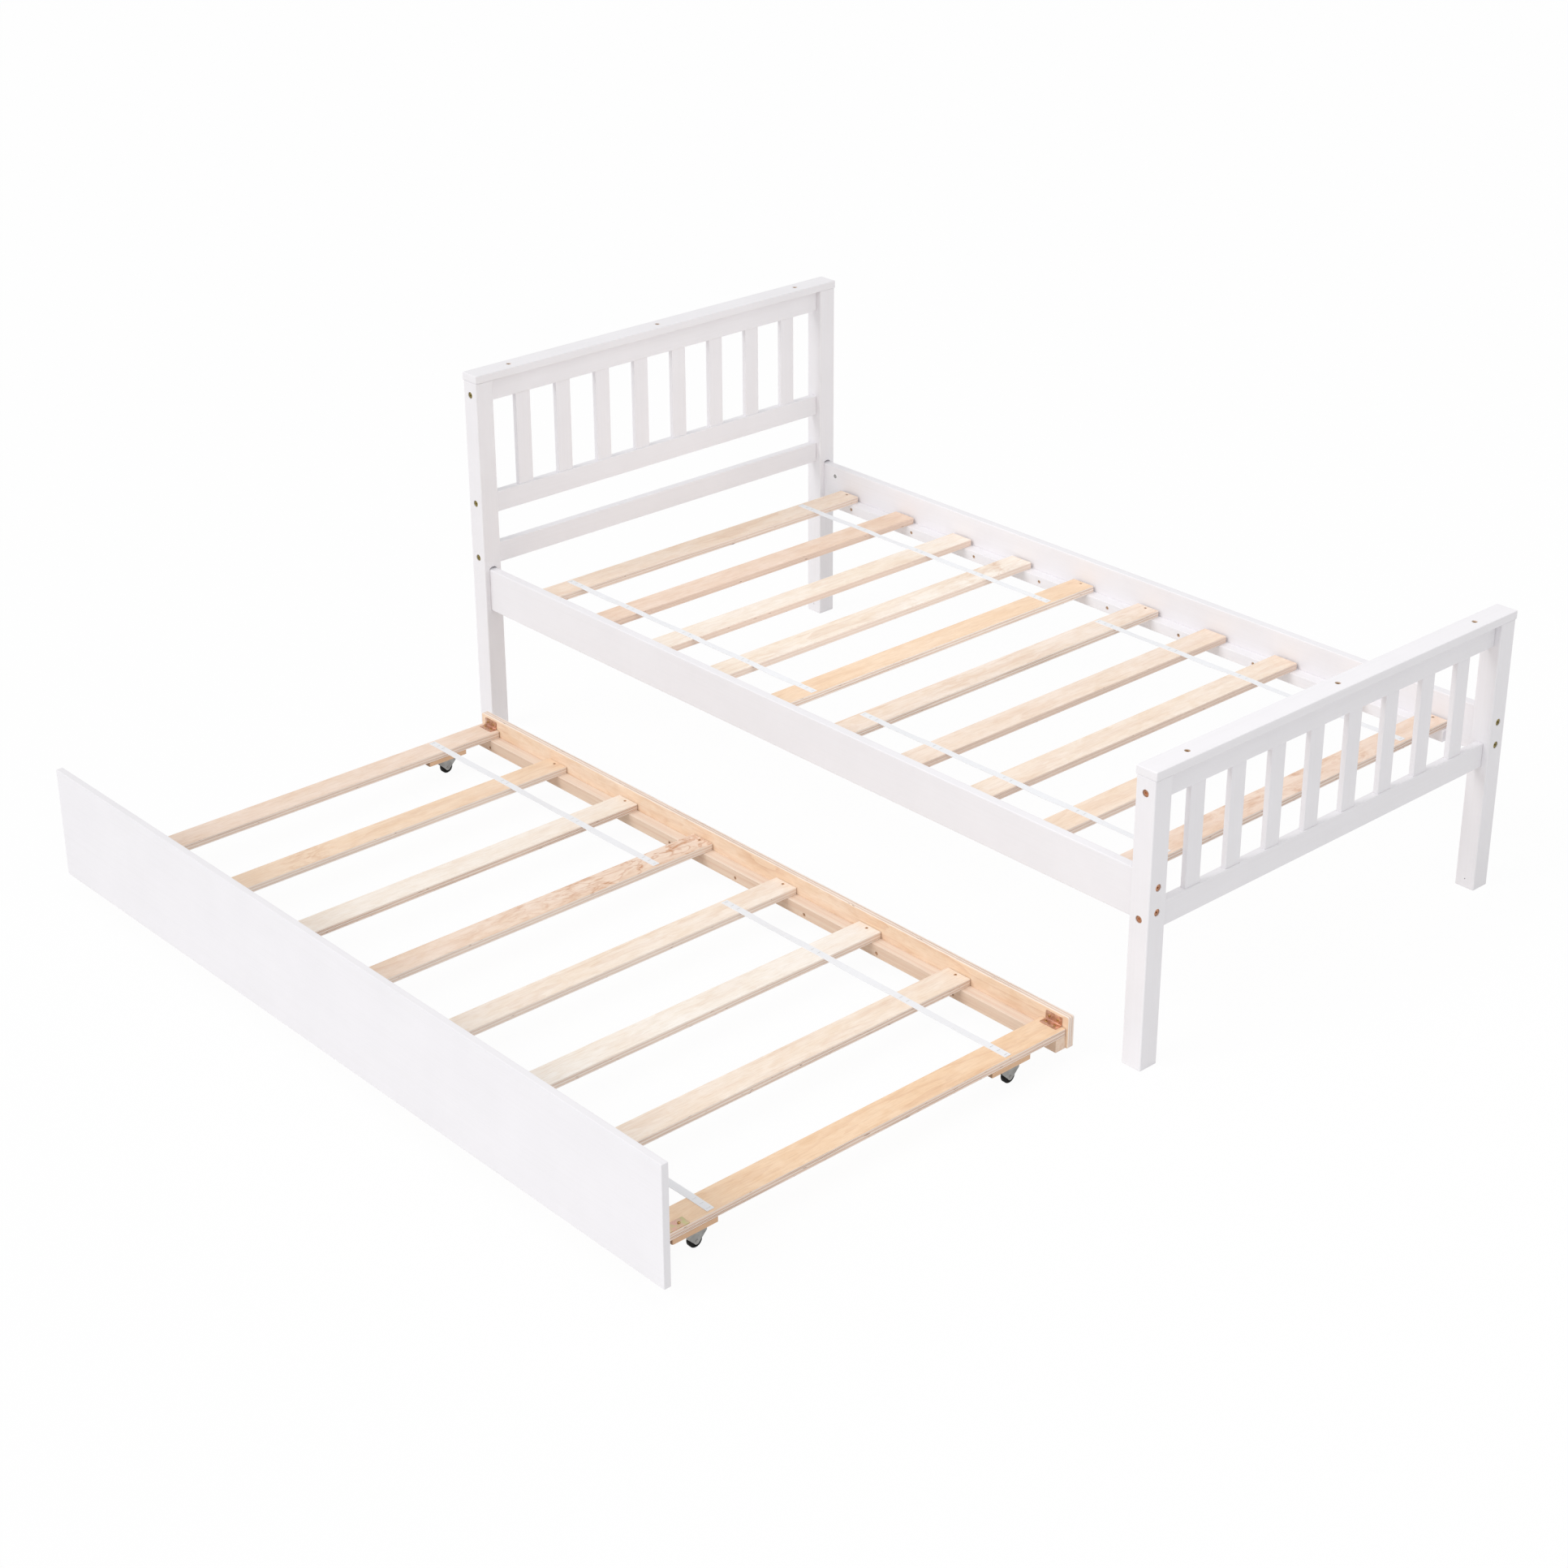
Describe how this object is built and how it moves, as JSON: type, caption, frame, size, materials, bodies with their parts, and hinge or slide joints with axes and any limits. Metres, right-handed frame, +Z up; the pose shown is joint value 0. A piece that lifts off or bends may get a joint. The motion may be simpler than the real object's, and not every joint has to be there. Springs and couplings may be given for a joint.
{
  "type": "trundle bed",
  "caption": "White painted slatted twin bed with head and foot boards and a low slatted trundle deck that rolls out from under it on small casters.",
  "frame": {"origin": "on the floor, at the middle of the whole footprint with the trundle rolled out", "axes": "+X from the headboard to the footboard, +Y from the rolled-out trundle towards the bed, +Z up"},
  "size_m": [2.004, 2.15, 0.851],
  "materials": {
    "white_paint": "satin",
    "natural_wood": "raw",
    "webbing": "woven",
    "zinc_steel": "zinc plated",
    "caster_steel": "dull zinc",
    "antique_brass": "antique",
    "yellow_zinc": "yellow zinc",
    "black_plastic": "gloss"
  },
  "bodies": {
    "bed_frame": {"headboard_post_front": "white_paint", "headboard_post_back": "white_paint", "headboard_cap": "white_paint", "headboard_top_rail": "white_paint", "headboard_middle_rail": "white_paint", "headboard_lower_rail": "white_paint", "headboard_slats": "white_paint", "footboard_post_front": "white_paint", "footboard_post_back": "white_paint", "footboard_cap": "white_paint", "footboard_top_rail": "white_paint", "footboard_bottom_rail": "white_paint", "footboard_slats": "white_paint", "side_rail_front": "white_paint", "side_rail_back": "white_paint", "slat_ledger_front": "white_paint", "slat_ledger_back": "white_paint", "bed_slat_01": "natural_wood", "bed_slat_02": "natural_wood", "bed_slat_03": "natural_wood", "bed_slat_04": "natural_wood", "bed_slat_05": "natural_wood", "bed_slat_06": "natural_wood", "bed_slat_07": "natural_wood", "bed_slat_08": "natural_wood", "bed_slat_09": "natural_wood", "bed_slat_10": "natural_wood", "bed_straps": "webbing", "bed_staples": "zinc_steel", "frame_bolts": "antique_brass", "barrel_nuts": "zinc_steel", "wood_dowels": "natural_wood", "cap_screws": "antique_brass", "bed_wood_screws": "antique_brass"},
    "trundle": {"trundle_front_panel": "white_paint", "trundle_back_rail": "natural_wood", "trundle_ledger_front": "natural_wood", "trundle_ledger_back": "natural_wood", "trundle_slat_1": "natural_wood", "trundle_slat_2": "natural_wood", "trundle_slat_3": "natural_wood", "trundle_slat_4": "natural_wood", "trundle_slat_5": "natural_wood", "trundle_slat_6": "natural_wood", "trundle_slat_7": "natural_wood", "trundle_slat_8": "natural_wood", "trundle_straps": "webbing", "trundle_staples": "zinc_steel", "corner_brackets": "yellow_zinc", "bracket_screws": "antique_brass", "caster_blocks": "natural_wood", "caster_forks": "caster_steel", "caster_axles": "zinc_steel", "caster_screws": "zinc_steel", "trundle_wood_screws": "antique_brass"},
    "caster_wheel_head_front": {"caster_wheel_head_front": "black_plastic"},
    "caster_wheel_head_back": {"caster_wheel_head_back": "black_plastic"},
    "caster_wheel_foot_front": {"caster_wheel_foot_front": "black_plastic"},
    "caster_wheel_foot_back": {"caster_wheel_foot_back": "black_plastic"}
  },
  "joints": [
    {"name": "trundle_slide", "type": "slide", "parent": "bed_frame", "child": "trundle", "axis": [0, 1, 0], "range_m": [0, 1.087]},
    {"name": "wheel_spin_head_front", "type": "hinge", "parent": "trundle", "child": "caster_wheel_head_front", "pos_m": [-0.86, -0.935, 0.014], "axis": [1, 0, 0], "continuous": true},
    {"name": "wheel_spin_head_back", "type": "hinge", "parent": "trundle", "child": "caster_wheel_head_back", "pos_m": [-0.86, -0.189, 0.014], "axis": [1, 0, 0], "continuous": true},
    {"name": "wheel_spin_foot_front", "type": "hinge", "parent": "trundle", "child": "caster_wheel_foot_front", "pos_m": [0.86, -0.935, 0.014], "axis": [1, 0, 0], "continuous": true},
    {"name": "wheel_spin_foot_back", "type": "hinge", "parent": "trundle", "child": "caster_wheel_foot_back", "pos_m": [0.86, -0.189, 0.014], "axis": [1, 0, 0], "continuous": true}
  ],
  "couplings": [
    {"joint": "wheel_spin_head_front", "follows": "trundle_slide", "rad_per_m": -71.429},
    {"joint": "wheel_spin_head_back", "follows": "trundle_slide", "rad_per_m": -71.429},
    {"joint": "wheel_spin_foot_front", "follows": "trundle_slide", "rad_per_m": -71.429},
    {"joint": "wheel_spin_foot_back", "follows": "trundle_slide", "rad_per_m": -71.429}
  ]
}
